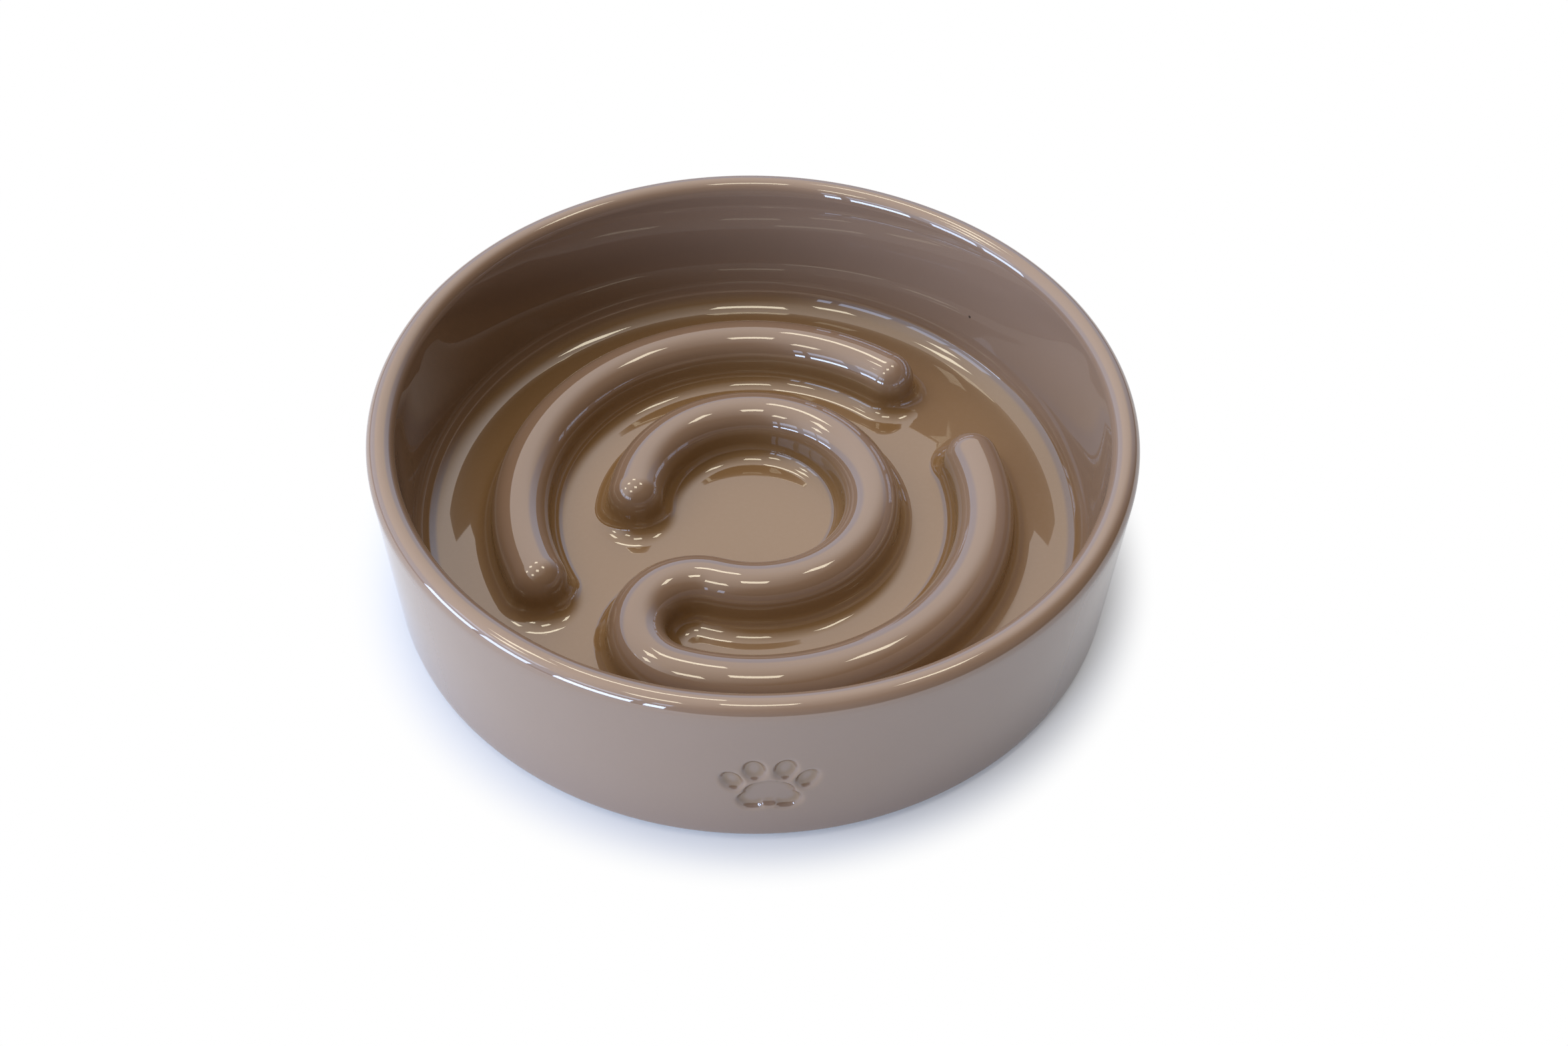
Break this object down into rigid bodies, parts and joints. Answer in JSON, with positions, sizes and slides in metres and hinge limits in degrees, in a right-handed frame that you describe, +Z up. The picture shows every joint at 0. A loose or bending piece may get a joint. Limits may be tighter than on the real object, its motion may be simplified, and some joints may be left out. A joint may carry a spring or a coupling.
{
  "type": "slow feeder bowl",
  "caption": "Round glazed bowl with an upright wall and a maze of raised, round-topped ridges on its floor, standing on a soft ring in its foot.",
  "frame": {"origin": "on the table, under the middle of the bowl", "axes": "+Z up out of the bowl; -Y towards the front, the side that faces the viewer; +X to the viewer's right"},
  "size_m": [0.2, 0.2, 0.054],
  "materials": {
    "glazed_stoneware": "glossy taupe glaze over stoneware",
    "silicone": "matte translucent white silicone"
  },
  "bodies": {
    "root": {"bowl": "glazed_stoneware", "grip_ring": "silicone"}
  },
  "joints": []
}
